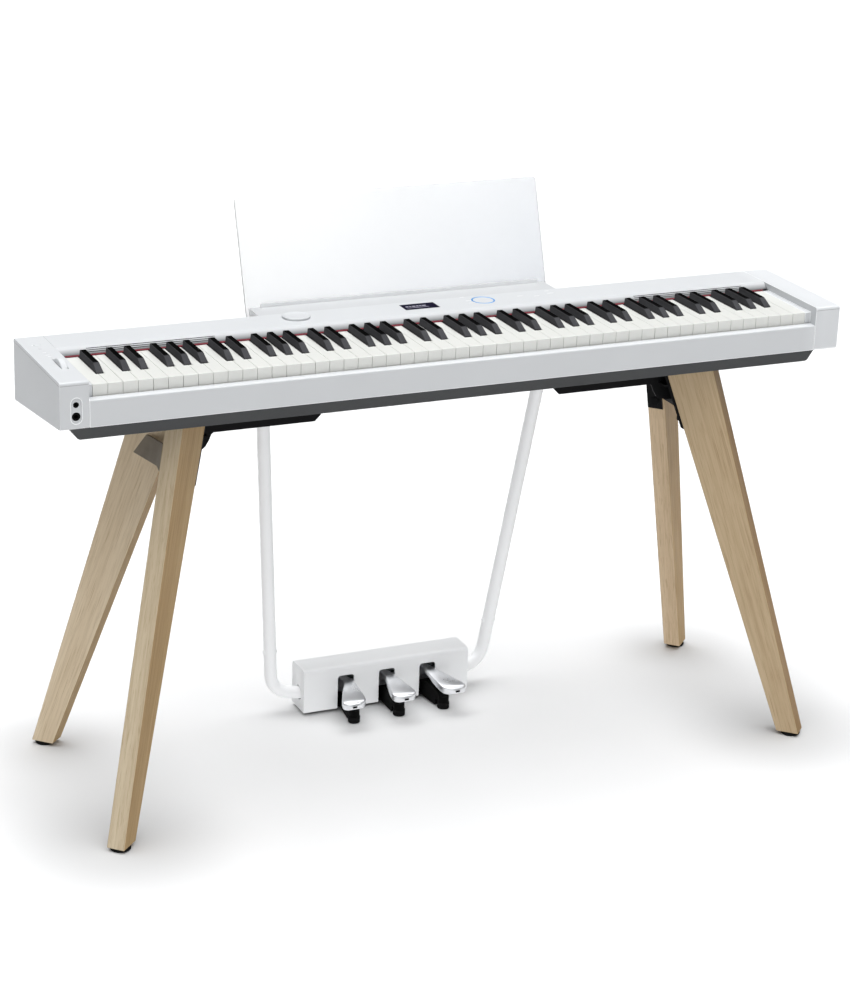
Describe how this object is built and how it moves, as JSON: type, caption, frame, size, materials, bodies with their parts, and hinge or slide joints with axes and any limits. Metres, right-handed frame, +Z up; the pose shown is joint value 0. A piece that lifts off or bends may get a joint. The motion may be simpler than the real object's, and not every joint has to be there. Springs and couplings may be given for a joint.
{
  "type": "digital piano on stand",
  "caption": "Slim full-size digital piano on a splayed four-leg wooden stand, with a hung pedal unit and a clear lift-out music rest.",
  "frame": {"origin": "on the floor, midway between the four floor glides", "axes": "+X to the player's right along the keyboard, +Y away from the player, +Z up"},
  "size_m": [1.34, 0.4528, 0.9065],
  "materials": {
    "oak": "matt clear lacquer over straight grain",
    "rubber": "matt",
    "black_steel": "satin black powder coat",
    "taupe_steel": "satin grey-brown powder coat",
    "white_shell": "satin gloss white",
    "white_tube": "satin white paint",
    "felt": "dark red felt",
    "dark_case": "fine textured dark grey",
    "board": "green solder mask",
    "black_plastic": "matt black",
    "display": "dark gloss window",
    "ivory": "fine textured ivory white",
    "ebony": "satin black",
    "bare_steel": "bright bar",
    "chrome": "polished",
    "acrylic": "frosted clear"
  },
  "bodies": {
    "piano": {"leg_front_left": "oak", "leg_front_right": "oak", "leg_rear_left": "oak", "leg_rear_right": "oak", "glide_front_left": "rubber", "glide_front_right": "rubber", "glide_rear_left": "rubber", "glide_rear_right": "rubber", "pedal_foot_left": "rubber", "pedal_foot_middle": "rubber", "pedal_foot_right": "rubber", "stand_bracket_left": "black_steel", "stand_bracket_right": "black_steel", "leg_tie_left": "taupe_steel", "leg_tie_right": "taupe_steel", "end_block_left": "white_shell", "end_block_right": "white_shell", "key_slip": "white_shell", "control_panel": "white_shell", "rear_panel": "white_shell", "fallboard": "white_shell", "rest_holder": "white_shell", "pedal_box": "white_shell", "pedal_tube_left": "white_tube", "pedal_tube_right": "white_tube", "felt_strip": "felt", "lower_case": "dark_case", "key_bed": "dark_case", "main_board": "board", "speaker_left": "black_plastic", "speaker_right": "black_plastic", "power_inlet": "black_plastic", "phones_socket_small": "black_plastic", "phones_socket_large": "black_plastic", "pedal_base": "black_plastic", "display_window": "display", "pedal_axle": "bare_steel"},
    "white_key_c": {"white_key_c": "ivory"},
    "white_key_d": {"white_key_d": "ivory"},
    "white_key_e": {"white_key_e": "ivory"},
    "white_key_f": {"white_key_f": "ivory"},
    "white_key_g": {"white_key_g": "ivory"},
    "white_key_a": {"white_key_a": "ivory"},
    "white_key_b": {"white_key_b": "ivory"},
    "black_key_c_sharp": {"black_key_c_sharp": "ebony"},
    "black_key_d_sharp": {"black_key_d_sharp": "ebony"},
    "black_key_f_sharp": {"black_key_f_sharp": "ebony"},
    "black_key_g_sharp": {"black_key_g_sharp": "ebony"},
    "black_key_a_sharp": {"black_key_a_sharp": "ebony"},
    "white_keys_bass": {"white_keys_bass": "ivory"},
    "white_keys_treble": {"white_keys_treble": "ivory"},
    "black_keys_bass": {"black_keys_bass": "ebony"},
    "black_keys_treble": {"black_keys_treble": "ebony"},
    "pedal_left": {"pedal_left": "chrome"},
    "pedal_middle": {"pedal_middle": "chrome"},
    "pedal_right": {"pedal_right": "chrome"},
    "power_button": {"power_button": "white_shell"},
    "bend_wheel": {"bend_wheel": "white_shell"},
    "volume_dial": {"volume_dial": "white_shell"},
    "music_rest": {"music_rest": "acrylic"}
  },
  "joints": [
    {"name": "white_key_c_press", "type": "hinge", "parent": "piano", "child": "white_key_c", "pos_m": [-0.05907, 0.084, 0.715], "axis": [1, 0, 0], "range_deg": [0, 2.8], "stiffness_Nm_per_rad": 0.5, "springref_deg": -28.65},
    {"name": "white_key_d_press", "type": "hinge", "parent": "piano", "child": "white_key_d", "pos_m": [-0.03544, 0.084, 0.715], "axis": [1, 0, 0], "range_deg": [0, 2.8], "stiffness_Nm_per_rad": 0.5, "springref_deg": -28.65},
    {"name": "white_key_e_press", "type": "hinge", "parent": "piano", "child": "white_key_e", "pos_m": [-0.01181, 0.084, 0.715], "axis": [1, 0, 0], "range_deg": [0, 2.8], "stiffness_Nm_per_rad": 0.5, "springref_deg": -28.65},
    {"name": "white_key_f_press", "type": "hinge", "parent": "piano", "child": "white_key_f", "pos_m": [0.01181, 0.084, 0.715], "axis": [1, 0, 0], "range_deg": [0, 2.8], "stiffness_Nm_per_rad": 0.5, "springref_deg": -28.65},
    {"name": "white_key_g_press", "type": "hinge", "parent": "piano", "child": "white_key_g", "pos_m": [0.03544, 0.084, 0.715], "axis": [1, 0, 0], "range_deg": [0, 2.8], "stiffness_Nm_per_rad": 0.5, "springref_deg": -28.65},
    {"name": "white_key_a_press", "type": "hinge", "parent": "piano", "child": "white_key_a", "pos_m": [0.05907, 0.084, 0.715], "axis": [1, 0, 0], "range_deg": [0, 2.8], "stiffness_Nm_per_rad": 0.5, "springref_deg": -28.65},
    {"name": "white_key_b_press", "type": "hinge", "parent": "piano", "child": "white_key_b", "pos_m": [0.08269, 0.084, 0.715], "axis": [1, 0, 0], "range_deg": [0, 2.8], "stiffness_Nm_per_rad": 0.5, "springref_deg": -28.65},
    {"name": "black_key_c_sharp_press", "type": "hinge", "parent": "piano", "child": "black_key_c_sharp", "pos_m": [-0.04965, 0.084, 0.715], "axis": [1, 0, 0], "range_deg": [0, 2.8], "stiffness_Nm_per_rad": 0.5, "springref_deg": -28.65},
    {"name": "black_key_d_sharp_press", "type": "hinge", "parent": "piano", "child": "black_key_d_sharp", "pos_m": [-0.02123, 0.084, 0.715], "axis": [1, 0, 0], "range_deg": [0, 2.8], "stiffness_Nm_per_rad": 0.5, "springref_deg": -28.65},
    {"name": "black_key_f_sharp_press", "type": "hinge", "parent": "piano", "child": "black_key_f_sharp", "pos_m": [0.02043, 0.084, 0.715], "axis": [1, 0, 0], "range_deg": [0, 2.8], "stiffness_Nm_per_rad": 0.5, "springref_deg": -28.65},
    {"name": "black_key_g_sharp_press", "type": "hinge", "parent": "piano", "child": "black_key_g_sharp", "pos_m": [0.04725, 0.084, 0.715], "axis": [1, 0, 0], "range_deg": [0, 2.8], "stiffness_Nm_per_rad": 0.5, "springref_deg": -28.65},
    {"name": "black_key_a_sharp_press", "type": "hinge", "parent": "piano", "child": "black_key_a_sharp", "pos_m": [0.07408, 0.084, 0.715], "axis": [1, 0, 0], "range_deg": [0, 2.8], "stiffness_Nm_per_rad": 0.5, "springref_deg": -28.65},
    {"name": "white_keys_bass_press", "type": "hinge", "parent": "piano", "child": "white_keys_bass", "pos_m": [-0.34259, 0.084, 0.715], "axis": [1, 0, 0], "range_deg": [0, 2.8], "stiffness_Nm_per_rad": 11.5, "springref_deg": -28.65},
    {"name": "white_keys_treble_press", "type": "hinge", "parent": "piano", "child": "white_keys_treble", "pos_m": [0.3544, 0.084, 0.715], "axis": [1, 0, 0], "range_deg": [0, 2.8], "stiffness_Nm_per_rad": 11, "springref_deg": -28.65},
    {"name": "black_keys_bass_press", "type": "hinge", "parent": "piano", "child": "black_keys_bass", "pos_m": [-0.34, 0.084, 0.715], "axis": [1, 0, 0], "range_deg": [0, 2.8], "stiffness_Nm_per_rad": 8, "springref_deg": -28.65},
    {"name": "black_keys_treble_press", "type": "hinge", "parent": "piano", "child": "black_keys_treble", "pos_m": [0.343, 0.084, 0.715], "axis": [1, 0, 0], "range_deg": [0, 2.8], "stiffness_Nm_per_rad": 7.5, "springref_deg": -28.65},
    {"name": "pedal_left_press", "type": "hinge", "parent": "piano", "child": "pedal_left", "pos_m": [-0.0795, 0.185, 0.044], "axis": [1, 0, 0], "range_deg": [0, 6], "stiffness_Nm_per_rad": 4, "springref_deg": -22.92},
    {"name": "pedal_middle_press", "type": "hinge", "parent": "piano", "child": "pedal_middle", "pos_m": [-0.0025, 0.185, 0.044], "axis": [1, 0, 0], "range_deg": [0, 6], "stiffness_Nm_per_rad": 4, "springref_deg": -22.92},
    {"name": "pedal_right_press", "type": "hinge", "parent": "piano", "child": "pedal_right", "pos_m": [0.0745, 0.185, 0.044], "axis": [1, 0, 0], "range_deg": [0, 6], "stiffness_Nm_per_rad": 4, "springref_deg": -22.92},
    {"name": "power_button_press", "type": "slide", "parent": "piano", "child": "power_button", "axis": [0, 0, -1], "range_m": [0, 0.0015], "stiffness_N_per_m": 200, "springref_m": -0.002},
    {"name": "bend_wheel_turn", "type": "hinge", "parent": "piano", "child": "bend_wheel", "pos_m": [-0.6405, -0.048, 0.7154], "axis": [1, 0, 0], "range_deg": [-30, 30], "stiffness_Nm_per_rad": 0.05},
    {"name": "volume_dial_turn", "type": "hinge", "parent": "piano", "child": "volume_dial", "pos_m": [-0.215, 0.074, 0.7414], "axis": [0, 0, 1], "range_deg": [-150, 150]},
    {"name": "music_rest_lift", "type": "slide", "parent": "piano", "child": "music_rest", "axis": [0, 0.324, 0.946], "range_m": [0, 0.06]}
  ]
}
